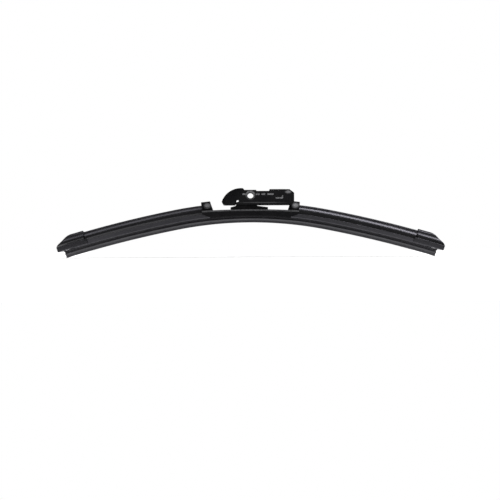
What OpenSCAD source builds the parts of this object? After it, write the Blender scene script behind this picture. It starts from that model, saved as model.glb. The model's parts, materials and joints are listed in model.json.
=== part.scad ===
// Flat beam wiper blade with a multi-fit arm adaptor.
// X runs along the blade, Y across it and Z up, with the wiping lip below.
// The origin is the centre of the adaptor's arm pin bore.
// Sections are drawn as [across, height above the lip edge].
// A station is a distance along the lip edge from the blade's middle.

/* [Bow] */
// Radius of the middle stretch at the lip edge
middle_radius = 390; // [360:1:480]
// Angle from the blade's middle to the end of the middle stretch
middle_half_angle = 11; // [9:0.1:12]
// Radius of the two outer stretches at the lip edge
outer_radius = 1120; // [900:5:1400]

/* [Wiping rubber] */
// Length of the rubber along its lip edge
rubber_length = 383; // [340:1:430]
// Thickness of the lip at its edge
lip_thickness = 0.7; // [0.5:0.05:1]
// Height of the thin lip
lip_height = 2.2; // [1.8:0.1:2.6]
// Height of the wedge above the thin lip
wedge_height = 1.6; // [1.4:0.1:2]
// Width of the wedge at its shoulders
shoulder_width = 4.8; // [4:0.1:5.6]
// Height of the shoulders' upright edge
shoulder_height = 0.6; // [0.4:0.1:0.9]
// Thickness of the neck on which the lip tips over
neck_thickness = 1; // [0.8:0.1:1.4]
// Height of the neck
neck_height = 1.8; // [1.5:0.1:2]
// Thickness of the head below the rail grooves
head_floor = 1.5; // [1.2:0.1:2]
// Width of the head below the rail grooves
head_floor_width = 5.2; // [4.6:0.1:5.6]
// Width of the head above the rail grooves
head_width = 4.6; // [4:0.1:5]
// Height of the head above the rail grooves
head_height = 1.4; // [1.2:0.1:2]

/* [Spring rails] */
// Width of each spring rail
rail_width = 3.7; // [3.2:0.1:4.4]
// Thickness of each spring rail
rail_thickness = 0.9; // [0.7:0.05:1.2]
// Gap between the two rails, filled by the rubber's web
rail_gap = 2.7; // [2.4:0.1:3.2]
// Distance from the rubber's end to the rails' end
rail_inset = 1.4; // [1:0.1:3]

/* [Spoilers] */
// Height of the spoiler's top above the lip edge
spoiler_height = 20.5; // [18.5:0.1:22]
// Thickness of the spoiler's fin at its top
fin_thickness = 1.9; // [1.6:0.1:2.4]
// Wall of the spoiler outside the rails
spoiler_wall = 1.55; // [1.3:0.05:2]
// Thickness of the jaws under the rails
jaw_thickness = 0.8; // [0.6:0.05:1.1]
// Width of the gap between the jaws
jaw_gap = 5.8; // [5.7:0.1:6.4]
// Height of the upright flank above the rails
flank_rise = 2.3; // [1.8:0.1:2.8]
// Height of the hollow above the rubber's head
hollow_height = 2.8; // [2:0.1:3.4]
// Width of the hollow at its top
hollow_top_width = 1.8; // [1.2:0.1:2.2]
// Distance from the rubber's end to the spoiler's end
spoiler_inset = 12.5; // [12:0.1:15]

/* [End clamps] */
// Sheet thickness of each end clamp
clamp_sheet = 0.5; // [0.4:0.05:0.6]
// Length of each end clamp along the blade
clamp_length = 4; // [3:0.1:6]
// Distance from the rails' end to the clamp
clamp_inset = 1.2; // [0.8:0.1:3]

/* [End caps] */
// Length of the end cap along the blade at its top
cap_length = 28.5; // [25:0.5:34]
// How far the cap reaches past the rubber's end
cap_overhang = 5; // [4:0.1:7]
// How much further the skirt reaches towards the blade's middle
cap_skirt_lead = 2.8; // [1:0.1:5]
// Side wall of the end cap
cap_wall = 1.1; // [0.9:0.05:1.5]
// Top wall of the end cap
cap_top_wall = 1.45; // [1.3:0.05:2]
// Height of the cap's lower edge above the spoiler's underside
cap_lift = 0.5; // [0.4:0.1:1.4]
// Slope of the cap's nose
cap_nose_slope = 29; // [24:1:34]
// Height of the cap's upright end above its lower edge
cap_end_height = 7.3; // [6.5:0.1:8]
// Radius of the crest where the cap's nose begins
cap_crest_radius = 16; // [10:1:20]
// Radius of the cap's upper end corner
cap_corner_radius = 3; // [2:0.1:3.5]
// Radius of the cap's lower end corner
cap_heel_radius = 1; // [0.5:0.1:1.5]

/* [Centre cover] */
// Length of the cover along the blade
cover_length = 95; // [90:0.5:100]
// Side wall of the cover beside the base bracket
cover_wall = 1.05; // [0.9:0.05:1.4]
// Thickness of the cover's roof above the base bracket
cover_roof = 1.3; // [1.2:0.1:1.8]
// How far the cover's side panel stands proud of its lower band
panel_rise = 0.5; // [0.3:0.05:0.8]
// How far the roof's rim stands proud of the side panel
rim_rise = 0.6; // [0.3:0.05:0.9]
// Thickness of the roof's rim
rim_thickness = 1.6; // [1.2:0.1:2]
// Radius of the cover's top line
roof_radius = 880; // [700:10:1200]
// Height of the cover's lower edge above the rubber's shoulders
cover_floor_gap = 1.5; // [1.3:0.1:1.8]
// Height of the side panel's lower edge above the cover's lower edge
panel_lift = 0.7; // [0.4:0.1:1]
// Distance from the blade's middle to where the side panel's edge lifts
panel_turn = 34; // [31:0.5:36]
// How far the side panel's edge lifts at the cover's end
panel_end_lift = 4.1; // [3:0.1:4.5]

/* [Collars] */
// Length of each collar along the blade
collar_length = 8.5; // [7:0.1:9]
// Height of the collar above the spoiler's top
collar_rise = 3.2; // [2.6:0.1:3.5]
// Width of the collar's rounded head
collar_head_width = 8.4; // [7.6:0.1:9]
// Height of the collar's rounded head
collar_head_height = 6.2; // [5.4:0.1:6.8]
// Wall of the collar around the spoiler's fin
collar_wall = 1.45; // [1.2:0.05:1.8]
// Length of the sloping foot inside each collar
collar_foot = 2.5; // [2:0.1:3.6]
// Height of the collar's shoulder above the cover's roof
collar_shoulder = 0.6; // [0.4:0.1:0.9]
// Radius of the collar head's upper corners
collar_head_round = 2.6; // [2:0.1:2.9]
// Radius of the collar head's lower corners
collar_head_fillet = 1.4; // [1:0.1:1.8]
// Distance from the collar's inner face to the spoiler's end
collar_seat = 1.2; // [0.8:0.1:2]

/* [Base bracket] */
// Sheet thickness of the base bracket
bracket_sheet = 1.1; // [0.9:0.05:1.3]
// Length of the base bracket along the blade
bracket_length = 40; // [37:0.5:42]
// Distance from the bracket's ends to the claws
claw_inset = 1.5; // [1:0.1:2.5]
// Length of each claw along the blade
claw_length = 6.5; // [5:0.1:6.8]
// Width of the gap between the claws' tips
claw_gap = 6.8; // [6.4:0.1:7.4]
// Distance from the middle plane to the inside of each ear
ear_inside = 2.8; // [2.6:0.1:3]
// Reach of each ear towards the adaptor's nose
ear_nose_reach = 12.6; // [11:0.1:13]
// Reach of each ear towards the adaptor's tail
ear_tail_reach = 5.4; // [4.6:0.1:5.8]
// Radius of each ear round the pivot pin
ear_radius = 3; // [2.7:0.1:3.2]

/* [Pivot] */
// Height of the pivot above the cover's roof
pivot_rise = 7.5; // [7.2:0.1:8.2]
// Radius of the pivot pin
pivot_pin_radius = 1.5; // [1.3:0.05:1.6]
// Wall of the bush on the pivot pin
bush_wall = 0.78; // [0.6:0.02:0.9]
// Radius of the pivot pin's heads
pin_head_radius = 2.3; // [2:0.1:2.4]
// Thickness of the pivot pin's heads
pin_head_thickness = 0.9; // [0.7:0.1:1.1]
// Angle by which the blade's tail side rises about the pivot
tail_rise_angle = 6; // [4:0.5:6]
// Angle by which the blade's nose side rises about the pivot
nose_rise_angle = 8; // [6:0.5:8]

/* [Pivot base] */
// Reach of the foot towards the adaptor's nose
foot_nose_reach = 20.2; // [18:0.1:21]
// Reach of the foot towards the adaptor's tail
foot_tail_reach = 17.7; // [16:0.1:20]
// Width of the foot
foot_width = 12; // [11.4:0.1:12.2]
// Thickness of the foot at its tips
foot_tip = 2.4; // [2:0.1:2.7]
// Thickness of the foot beside its block
foot_crown = 3.6; // [3:0.1:3.9]
// Reach of the block towards the adaptor's nose
block_nose_reach = 15; // [14:0.1:16]
// Reach of the block towards the adaptor's tail
block_tail_reach = 6.9; // [6.6:0.1:7.2]
// How far the block's nose end slants
block_slant = 0.9; // [0.4:0.1:1.4]
// How far the block reaches into the adaptor
block_entry = 0.2; // [0.1:0.05:0.4]

/* [Arm adaptor] */
// Height of the arm pin bore above the pivot
bore_rise = 6.7; // [6.5:0.1:7.4]
// Radius of the arm pin bore
bore_radius = 3.2; // [2.9:0.05:3.3]
// Width of the adaptor
adaptor_width = 16; // [15.4:0.1:17]
// Side wall of the adaptor
adaptor_wall = 1.6; // [1.3:0.05:1.8]
// Roof of the adaptor
adaptor_roof = 1.4; // [1.2:0.05:1.8]
// Distance from the arm pin bore to the nose tip
nose_reach = 29.2; // [27:0.1:31]
// Distance from the arm pin bore to the tail's end
tail_reach = 44.2; // [43:0.1:46]
// Depth of the adaptor's lower edge below the pivot
adaptor_drop = 2.7; // [2.5:0.1:2.9]
// Radius of the nose's back
nose_radius = 20.9; // [20.5:0.05:22.5]
// Depth of the nose tip below the arm pin bore
nose_drop = 6.4; // [5.8:0.1:6.8]
// Distance from the nose tip to the front of the lower edge
nose_undercut = 1.6; // [1.2:0.1:3]
// Distance from the arm pin bore to the nose's peak
peak_reach = 7.5; // [7:0.1:8]
// Height of the middle roof above the arm pin bore
middle_roof_height = 5.4; // [5.2:0.1:5.8]
// Height of the tail's roof above the arm pin bore
tail_roof_height = 6; // [5.8:0.1:6.8]
// Height of the low walls beside the spine above the arm pin bore
low_wall_height = 3.3; // [3:0.1:3.6]
// Distance from the arm pin bore to the start of the low walls
low_wall_start = 6; // [5.4:0.1:7]
// Length of the low walls
low_wall_length = 13.3; // [12:0.1:15]
// Width of the spine between the low walls
spine_width = 4; // [3:0.1:5]
// Length of the chamfer on the tail's roof
tail_chamfer_length = 4.6; // [3.5:0.1:5.5]
// Depth of the chamfer on the tail's roof
tail_chamfer_depth = 3.8; // [3:0.1:4.5]
// Length of the web that rides on the bush
web_length = 10; // [9:0.5:10.5]
// Width of the web's mouth below the bush
mouth_width = 4; // [3.4:0.1:4.2]
// Radius of the ring round the arm pin bore
ring_radius = 4.7; // [4.3:0.1:5]
// How far the ring stands proud of the wall
ring_rise = 0.5; // [0.3:0.05:0.8]
// Radius of the small relief hole
relief_radius = 1.4; // [1:0.05:1.5]
// Distance from the arm pin bore to the relief hole
relief_reach = 13.1; // [12.5:0.1:14]
// Height of the relief hole above the adaptor's lower edge
relief_rise = 4; // [3.6:0.1:4.6]
// Width of the slit below the relief hole
slit_width = 0.5; // [0.3:0.05:0.8]
// How far the slit leans towards the nose
slit_lean = 2.5; // [1.5:0.1:3]

/* [Clearances] */
// Gap round the rails and the rubber's head
rail_fit = 0.1; // [0.05:0.01:0.15]
// Gap between the spoiler and what covers it
cover_fit = 0.2; // [0.1:0.01:0.25]
// Gap round the base bracket
bracket_fit = 0.2; // [0.1:0.01:0.25]
// Gap of the pivot pin in its holes
pin_fit = 0.02; // [0.01:0.005:0.04]
// Running gap of the bush in the adaptor
bush_fit = 0.06; // [0.03:0.005:0.1]
// Gap beside the ears, between the adaptor's web and the bush's ends
ear_gap = 0.15; // [0.1:0.01:0.3]
// Gap round what swings past a neighbour at its limit
swing_gap = 0.5; // [0.4:0.05:0.7]
// Gap between the pivot base and the cover's curved roof
seat_gap = 0.01; // [0.01:0.01:0.05]

/* [Hidden] */
$fn = 64;

// How far a cut runs past the face it goes through
over = 1;
// How far a rib or a head runs into the body that it joins
lap = 0.2;
// Angle by which an outer stretch laps into the middle one
stretch_lap = 0.03;
// Sideways step of the outer stretches' section, which keeps their faces apart in the lap
stretch_step = [0.004, 0.01];
// Straight steps in a drawn curve
curve_steps = 10;
// Small edge radius on the spoiler, the caps and the collars
edge_round = 0.4;

// Small slopes in the rubber's section
lip_taper = 0.1;
root_slope = 0.2;
head_bevel = 0.5;

// Heights in the rubber's section
wedge_top = lip_height + wedge_height;
shoulder_top = wedge_top + shoulder_height;
neck_top = shoulder_top + neck_height;
groove_bottom = neck_top + head_floor;
rail_bottom = groove_bottom + rail_fit;
rail_top = rail_bottom + rail_thickness;
groove_top = rail_top + rail_fit;
head_top = groove_top + head_height;

// Stations along the lip edge
middle_reach = middle_radius * middle_half_angle * PI / 180;
rubber_reach = rubber_length / 2;
rail_reach = rubber_reach - rail_inset;
spoiler_reach = rubber_reach - spoiler_inset;
clamp_end = rail_reach - clamp_inset;
clamp_start = clamp_end - clamp_length;
cap_tip = rubber_reach + cap_overhang;
cap_start = cap_tip - cap_length;
cover_reach = cover_length / 2;
collar_start = cover_reach - collar_length;
spoiler_start = collar_start + collar_seat;
band_reach = spoiler_start - 2 * cover_fit;

claw_end = bracket_length / 2 - claw_inset;
claw_start = claw_end - claw_length;

// Widths from the middle plane
rail_outside = rail_gap / 2 + rail_width;
spoiler_half = rail_outside + 2 * rail_fit + spoiler_wall;
bracket_half = rail_outside + rail_fit + bracket_sheet;
band_half = bracket_half + bracket_fit + cover_wall;
panel_half = band_half + panel_rise;
rim_half = panel_half + rim_rise;
adaptor_half = adaptor_width / 2;
channel_half = adaptor_half - adaptor_wall;

// Heights above the lip edge
spoiler_floor = groove_bottom - jaw_thickness;
flank_top = rail_top + flank_rise;
plate_bottom = head_top + bracket_fit;
plate_top = plate_bottom + bracket_sheet;
cover_floor = shoulder_top + cover_floor_gap;
panel_floor = cover_floor + panel_lift;
roof_height = plate_top + bracket_fit + cover_roof;
pivot_height = roof_height + pivot_rise;
lip_depth = pivot_height + bore_rise;

// Heights from the arm pin bore's axis
adaptor_floor = -bore_rise - adaptor_drop;
collar_top_radius = middle_radius + spoiler_height + collar_rise;
collar_top = collar_top_radius * cos(middle_turn(collar_start)) - middle_radius - lip_depth;
notch_top = collar_top + tail_reach * sin(tail_rise_angle) + swing_gap;

// Ears, web and bush across the blade
ear_outside = ear_inside + bracket_sheet;
web_half = ear_inside - ear_gap;
bush_radius = pivot_pin_radius + pin_fit + bush_wall;

// Points on the adaptor's side view, from the arm pin bore
nose_tip_turn = 159.7;
nose_centre = [-nose_reach, -nose_drop] - nose_radius * [cos(nose_tip_turn), sin(nose_tip_turn)];
peak_turn = acos((-peak_reach - nose_centre.x) / nose_radius);
peak_height = nose_centre.y + nose_radius * sin(peak_turn);
notch_x = -peak_reach + 1.4;
low_wall_end = low_wall_start + low_wall_length;

// Marks on the adaptor's side walls, with the start and length of each bar
mark_rise = 0.3;
bar_bottom = 0.2;
bar_height = 1.6;
bars = [[-8, 3.4], [5.3, 3.8], [11, 3.9], [17, 6.4]];
ledge_start = [25.2, -3.5];
ledge_length = 7.8;
ledge_height = 3.2;
ledge_thickness = 1.3;

function unit(v) = v / norm(v);

function arc_points(centre, radius, from, to) = [
    for (i = [0:curve_steps])
        let (turn = from + (to - from) * i / curve_steps) centre + radius * [cos(turn), sin(turn)]
];

function corner_arc(before, at, after, radius) =
    let (
        back = unit(before - at),
        ahead = unit(after - at),
        half_angle = acos(back * ahead) / 2,
        centre = at + unit(back + ahead) * radius / sin(half_angle),
        from = at + back * radius / tan(half_angle) - centre,
        to = at + ahead * radius / tan(half_angle) - centre,
        start = atan2(from.y, from.x)
    )
    arc_points(centre, radius, start, start + atan2(cross(from, to), from * to));

// An outline from corners given as [x, y, radius].
function rounded(corners) =
    let (count = len(corners), flat = [for (c = corners) [c.x, c.y]])
    [
        for (i = [0:count - 1])
            each corners[i][2] > 0
                ? corner_arc(flat[(i + count - 1) % count], flat[i], flat[(i + 1) % count], corners[i][2])
                : [flat[i]]
    ];

// A whole section from its right-hand side, drawn from the bottom up.
function both_sides(side) =
    concat(side, [for (i = [len(side) - 1:-1:0]) [-side[i].x, side[i].y]]);

// The right-hand side of a finned section: an upright flank, a hollow sweep and a round-topped fin.
function finned_side(half, fin, bottom, flank, top) =
    let (
        run = half - edge_round - fin,
        rise = top - fin - flank - edge_round,
        radius = (run * run + rise * rise) / (2 * run)
    )
    concat(
        [[half - edge_round, bottom], [half, bottom + edge_round], [half, flank]],
        arc_points([fin + radius, top - fin], radius, 180 + atan2(rise, radius - run), 180),
        [for (i = [1:5]) [fin * cos(15 * i), top - fin + fin * sin(15 * i)]]
    );

// Angle of a station on the middle stretch and past it, in degrees.
function middle_turn(station) = min(station, middle_reach) / middle_radius * 180 / PI;
function outer_turn(station) = max(station - middle_reach, 0) / outer_radius * 180 / PI;

// Height of the cover's roof above the lip edge, at a distance from the middle.
function roof_at(x) = roof_height - roof_radius + sqrt(roof_radius * roof_radius - x * x);

module turn_about(radius, turn) {
    translate([0, 0, -radius]) rotate([0, turn, 0]) translate([0, 0, radius]) children();
}

// Puts its children at a station on the right-hand side, upright on the lip edge.
module at_station(station) {
    turn_about(middle_radius, middle_turn(station))
        turn_about(outer_radius, outer_turn(station)) children();
}

// Sweeps a section round an arc of the lip edge, from one angle to another.
module bent(radius, from, to) {
    translate([0, 0, -radius])
        rotate([90, 0, 0])
            rotate_extrude(angle = to - from, start = 90 - to, $fn = 256)
                translate([radius, 0]) rotate(-90) children();
}

// Sweeps a section along an outer stretch, lapped into the middle one where they meet.
module outer_run(from, to) {
    start = from > middle_reach ? outer_turn(from) : -stretch_lap;
    turn_about(middle_radius, middle_half_angle)
        bent(outer_radius, start, outer_turn(to)) translate(stretch_step) children();
}

// Sweeps a section between two stations on the right-hand side.
module run(from, to) {
    if (from < middle_reach)
        bent(middle_radius, middle_turn(from), middle_turn(to)) children();
    if (to > middle_reach)
        outer_run(from, to) children();
}

// Sweeps a section to the same station on both sides of the blade's middle.
module full_run(reach) {
    bent(middle_radius, -middle_turn(reach), middle_turn(reach)) children();
    if (reach > middle_reach)
        for (left = [0, 1])
            mirror([left, 0, 0]) outer_run(0, reach) children();
}

// A prism across the blade from an outline in X and Z.
module across(half) {
    rotate([90, 0, 0]) linear_extrude(2 * half, center = true) children();
}

// A box given by its low and high corners.
module block(low, high) {
    translate(low) cube(high - low);
}

module cross_cylinder(radius, half, x = 0, z = 0) {
    translate([x, 0, z]) rotate([90, 0, 0])
        cylinder(r = radius, h = 2 * half, center = true, $fn = radius > 20 ? 256 : 64);
}

// Moves the blade so that the arm pin bore's axis is at the origin.
module blade() {
    translate([0, 0, -lip_depth]) children();
}

module each_end(left) {
    blade() mirror([left ? 1 : 0, 0, 0]) children();
}

module rubber_section() {
    lip = lip_thickness / 2;
    shoulder = shoulder_width / 2;
    neck = neck_thickness / 2;
    floor_half = head_floor_width / 2;
    web = rail_gap / 2 - rail_fit;
    head = head_width / 2;
    polygon(both_sides([
        [lip, 0], [lip + lip_taper, lip_height], [shoulder, wedge_top], [shoulder, shoulder_top],
        [neck, shoulder_top + root_slope], [neck, neck_top], [floor_half, neck_top + root_slope],
        [floor_half, groove_bottom], [web, groove_bottom], [web, groove_top], [head, groove_top],
        [head, head_top - head_bevel], [head - head_bevel, head_top]
    ]));
}

module wiping_rubber() {
    color([0.05, 0.05, 0.055])
        difference() {
            blade() full_run(rubber_reach) rubber_section();
            for (left = [false, true])
                each_end(left)
                    run(clamp_start - rail_fit, clamp_end + rail_fit)
                        translate([-head_width / 2 - over, groove_top - rail_fit])
                            square([head_width + 2 * over, head_height + over]);
        }
}

// side is -1 for the front rail and 1 for the rear one.
module spring_rail(side) {
    color([0.45, 0.46, 0.48])
        blade() full_run(rail_reach)
            translate([side * (rail_gap + rail_width) / 2 - rail_width / 2, rail_bottom])
                square([rail_width, rail_thickness]);
}

module spoiler_outline(grow, bottom) {
    polygon(both_sides(finned_side(
        spoiler_half + grow, fin_thickness / 2 + grow, bottom, flank_top + grow, spoiler_height + grow
    )));
}

// The room that the rails and the rubber's head take, open below.
module rail_room() {
    slot = rail_outside + 2 * rail_fit;
    head = head_width / 2 + 2 * rail_fit;
    polygon(both_sides([
        [jaw_gap / 2, 0], [jaw_gap / 2, groove_bottom], [slot, groove_bottom], [slot, groove_top],
        [head, groove_top], [head, head_top + rail_fit], [hollow_top_width / 2, head_top + hollow_height]
    ]));
}

// The room in a cap's nose for the rails, their clamp and the rubber's head, open below.
module nose_room() {
    half = rail_outside + rail_fit + clamp_sheet + rail_fit;
    head = head_width / 2 + 2 * rail_fit;
    step = groove_top + clamp_sheet + 2 * rail_fit;
    polygon(both_sides([[half, 0], [half, step], [head, step], [head, head_top + 2 * rail_fit]]));
}

module spoiler(left) {
    color([0.09, 0.09, 0.1])
        each_end(left)
            run(spoiler_start, spoiler_reach)
                difference() {
                    spoiler_outline(0, spoiler_floor);
                    rail_room();
                }
}

module end_clamp(left) {
    inside = rail_outside + rail_fit;
    outside = inside + clamp_sheet;
    color([0.6, 0.61, 0.63])
        each_end(left)
            run(clamp_start, clamp_end)
                difference() {
                    translate([-outside, rail_bottom - clamp_sheet])
                        square([2 * outside, rail_thickness + 2 * clamp_sheet]);
                    translate([-inside, rail_bottom]) square([2 * inside, rail_thickness]);
                    translate([-jaw_gap / 2, 0]) square([jaw_gap, rail_bottom + rail_thickness / 2]);
                }
}

// The cap's side view, measured from its tip and from the lip edge.
module cap_profile() {
    bottom = spoiler_floor + cap_lift;
    top = spoiler_height + cap_top_wall + cover_fit;
    end_top = bottom + cap_end_height;
    slope_run = (top - end_top) / tan(cap_nose_slope);
    polygon(rounded([
        [-cap_length - cap_skirt_lead - over, bottom, 0], [0, bottom, cap_heel_radius],
        [0, end_top, cap_corner_radius], [-slope_run, top, cap_crest_radius],
        [-cap_length - cap_skirt_lead - over, top, 0]
    ]));
}

module cap_shell() {
    bottom = spoiler_floor + cap_lift;
    grow = cap_wall + cover_fit;
    skirt_top = flank_top + grow;
    intersection() {
        union() {
            run(cap_start, cap_tip)
                polygon(both_sides(finned_side(
                    spoiler_half + grow, fin_thickness / 2 + grow, bottom, skirt_top,
                    spoiler_height + cap_top_wall + cover_fit
                )));
            run(cap_start - cap_skirt_lead, cap_start + over)
                polygon(both_sides([
                    [spoiler_half + grow - edge_round, bottom], [spoiler_half + grow, bottom + edge_round],
                    [spoiler_half + grow, skirt_top], [spoiler_half - edge_round, skirt_top + edge_round]
                ]));
        }
        at_station(cap_tip) across(spoiler_half + grow + over) cap_profile();
    }
}

module end_cap(left) {
    color([0.07, 0.07, 0.075])
        each_end(left)
            difference() {
                cap_shell();
                run(cap_start - cap_skirt_lead - over, spoiler_reach + cover_fit)
                    spoiler_outline(cover_fit, 0);
                run(spoiler_reach, rubber_reach + cover_fit) nose_room();
            }
}

// Keeps what lies under the cover's top line, which is straighter than the blade.
module under_roof(drop) {
    radius = roof_radius - drop;
    cross_cylinder(radius, rim_half + over, 0, roof_height - roof_radius);
}

module cover_band() {
    intersection() {
        full_run(band_reach)
            translate([-band_half, cover_floor]) square([2 * band_half, roof_height]);
        under_roof(0);
    }
}

// The side panel, whose lower edge lifts in a round sweep towards the cover's ends.
module cover_panel() {
    end = cover_reach - panel_turn;
    radius = (end * end + panel_end_lift * panel_end_lift) / (2 * panel_end_lift);
    intersection() {
        full_run(cover_reach)
            translate([-panel_half, panel_floor]) square([2 * panel_half, roof_height]);
        union() {
            block([-panel_turn, -panel_half - over, 0], [panel_turn, panel_half + over, roof_height + over]);
            for (left = [0, 1])
                mirror([left, 0, 0]) at_station(panel_turn)
                    cross_cylinder(radius, panel_half + over, 0, panel_floor + radius);
        }
        under_roof(0);
    }
}

module cover_rim() {
    intersection() {
        full_run(cover_reach)
            translate([-rim_half, 0]) square([2 * rim_half, roof_height + panel_end_lift]);
        difference() {
            under_roof(0);
            under_roof(rim_thickness);
        }
    }
}

// A hood over the spoiler's end, with a rounded head and a sloping foot.
module collar() {
    fin = fin_thickness / 2 + cover_fit + collar_wall;
    top = spoiler_height + collar_rise;
    shoulder = roof_height + collar_shoulder;
    neck = top - collar_head_height / 2;
    head = collar_head_width / 2;
    run(collar_start, cover_reach) {
        polygon(both_sides(finned_side(panel_half - edge_round, fin, flank_top, shoulder, neck + fin)));
        polygon(rounded([
            [-head, top - collar_head_height, collar_head_fillet],
            [head, top - collar_head_height, collar_head_fillet],
            [head, top, collar_head_round], [-head, top, collar_head_round]
        ]));
    }
    at_station(collar_start)
        across(fin + edge_round)
            polygon([
                [over, top - edge_round], [0, top - edge_round], [-collar_foot, shoulder],
                [-collar_foot, flank_top], [over, flank_top]
            ]);
}

// The round hollows and slots that let the bracket, the rails and the spoilers in.
module cover_rooms() {
    full_run(bracket_length / 2 + bracket_fit)
        translate([-bracket_half - bracket_fit, 0])
            square([2 * (bracket_half + bracket_fit), plate_top + bracket_fit]);
    full_run(spoiler_start) rail_room();
    for (left = [0, 1])
        mirror([left, 0, 0])
            run(spoiler_start - cover_fit, cover_reach + over) spoiler_outline(cover_fit, 0);
    block(
        [-ear_nose_reach - bracket_fit, -ear_outside - bracket_fit, head_top],
        [ear_tail_reach + bracket_fit, ear_outside + bracket_fit, roof_height + over]
    );
}

module centre_cover() {
    color([0.06, 0.06, 0.065])
        blade() difference() {
            union() {
                cover_band();
                cover_panel();
                cover_rim();
                for (left = [0, 1]) mirror([left, 0, 0]) collar();
            }
            cover_rooms();
        }
}

// A pressed channel over the rubber's head, with flanges on the rails.
module bracket_channel() {
    full_run(bracket_length / 2)
        polygon(both_sides([
            [ear_inside, plate_bottom], [ear_inside, rail_top], [bracket_half, rail_top],
            [bracket_half, rail_top + bracket_sheet], [ear_outside, rail_top + bracket_sheet],
            [ear_outside, plate_top]
        ]));
}

module bracket_claws() {
    inside = bracket_half - bracket_sheet;
    tip = claw_gap / 2;
    for (left = [0, 1], rear = [0, 1])
        mirror([left, 0, 0]) mirror([0, rear, 0])
            run(claw_start, claw_end)
                polygon([
                    [tip, rail_bottom - bracket_sheet], [bracket_half, rail_bottom - bracket_sheet],
                    [bracket_half, rail_top + bracket_sheet / 2], [inside, rail_top + bracket_sheet / 2],
                    [inside, rail_bottom], [tip, rail_bottom]
                ]);
}

module bracket_ears() {
    ear_middle = (ear_inside + ear_outside) / 2;
    for (side = [-1, 1])
        translate([0, side * ear_middle, 0]) across(bracket_sheet / 2)
            hull() {
                translate([0, pivot_height]) circle(r = ear_radius, $fn = 32);
                translate([-ear_nose_reach, plate_bottom])
                    square([ear_nose_reach + ear_tail_reach, roof_height + foot_tip - plate_bottom]);
            }
}

module base_bracket() {
    color([0.12, 0.12, 0.125])
        blade() difference() {
            union() {
                bracket_channel();
                bracket_claws();
                bracket_ears();
            }
            cross_cylinder(pivot_pin_radius + pin_fit, ear_outside + over, 0, pivot_height);
        }
}

// The base's side view: its underside follows the cover's roof, and its block ends in the adaptor.
module base_profile() {
    block_top = pivot_height - adaptor_drop + block_entry;
    crown = roof_height + foot_crown;
    polygon(concat(
        arc_points(
            [0, roof_height - roof_radius], roof_radius + seat_gap,
            90 + asin(foot_nose_reach / roof_radius), 90 - asin(foot_tail_reach / roof_radius)
        ),
        [
            [foot_tail_reach, roof_at(foot_tail_reach) + foot_tip], [block_tail_reach, crown],
            [block_tail_reach, block_top], [block_slant - block_nose_reach, block_top],
            [-block_nose_reach, crown], [-foot_nose_reach, roof_at(foot_nose_reach) + foot_tip]
        ]
    ));
}

module pivot_base() {
    web_swing = web_length / 2 * sin(max(nose_rise_angle, tail_rise_angle)) + swing_gap;
    pocket_floor = pivot_height - adaptor_drop - web_swing;
    slot = ear_gap / 2;
    low_x = -ear_nose_reach - slot;
    high_x = ear_tail_reach + slot;
    color([0.03, 0.03, 0.035])
        blade() difference() {
            across(foot_width / 2) base_profile();
            for (side = [-1, 1])
                translate([0, side * (ear_inside + ear_outside) / 2, 0])
                    block(
                        [low_x, -bracket_sheet / 2 - slot, 0],
                        [high_x, bracket_sheet / 2 + slot, pivot_height]
                    );
            block(
                [low_x, -ear_inside, pocket_floor],
                [max(high_x, web_length / 2 + swing_gap), ear_inside, pivot_height]
            );
        }
}

module pivot_pin() {
    head = pin_head_radius;
    bevel = pin_head_thickness / 2;
    color([0.55, 0.56, 0.58])
        blade() translate([0, 0, pivot_height]) rotate([90, 0, 0]) {
            cylinder(r = pivot_pin_radius, h = 2 * ear_outside, center = true);
            for (side = [0, 1])
                mirror([0, 0, side]) translate([0, 0, ear_outside])
                    rotate_extrude()
                        polygon([
                            [0, -lap], [pivot_pin_radius, -lap], [pivot_pin_radius, 0], [head, 0],
                            [head, pin_head_thickness - bevel], [head - bevel, pin_head_thickness],
                            [0, pin_head_thickness]
                        ]);
        }
}

module pivot_bush() {
    color([0.75, 0.74, 0.7])
        blade() difference() {
            cross_cylinder(bush_radius, web_half, 0, pivot_height);
            cross_cylinder(pivot_pin_radius + pin_fit, web_half + over, 0, pivot_height);
        }
}

function nose_back(inset, from, to) =
    [for (p = arc_points(nose_centre, nose_radius - inset, from, to)) [p.x, p.y, 0]];

// The adaptor's side view, anticlockwise from the tail's lower corner.
module adaptor_outline() {
    polygon(rounded(concat(
        [
            [tail_reach, adaptor_floor, 4], [tail_reach, tail_roof_height - tail_chamfer_depth, 0.8],
            [tail_reach - tail_chamfer_length, tail_roof_height, 1.2],
            [low_wall_end, tail_roof_height, 0.3], [low_wall_end, low_wall_height, 0.6],
            [low_wall_start, low_wall_height, 0.6], [low_wall_start, middle_roof_height, 0.3],
            [notch_x, middle_roof_height, 0.5]
        ],
        nose_back(0, peak_turn, nose_tip_turn),
        [[nose_undercut - nose_reach, adaptor_floor, 0.8]]
    )));
}

// The hollow between the side walls, open below and beside the spine.
module adaptor_hollow() {
    front = nose_undercut - nose_reach + adaptor_wall;
    back = notch_x - adaptor_wall;
    inner = nose_radius - adaptor_wall;
    roof = middle_roof_height - adaptor_roof;
    tail_roof = tail_roof_height - adaptor_roof;
    end = tail_reach - adaptor_wall;
    polygon(rounded(concat(
        [
            [end, adaptor_floor - over, 0], [end, tail_roof - tail_chamfer_depth, 0],
            [tail_reach - tail_chamfer_length - adaptor_roof / 4, tail_roof, 0],
            [low_wall_end, tail_roof, 0], [low_wall_end, peak_height + over, 0],
            [low_wall_start, peak_height + over, 0], [low_wall_start, roof, 0], [back, roof, 0]
        ],
        nose_back(
            adaptor_wall, acos((back - nose_centre.x) / inner), acos((front - nose_centre.x) / inner)
        ),
        [[front, adaptor_floor - over, 0]]
    )));
}

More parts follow.
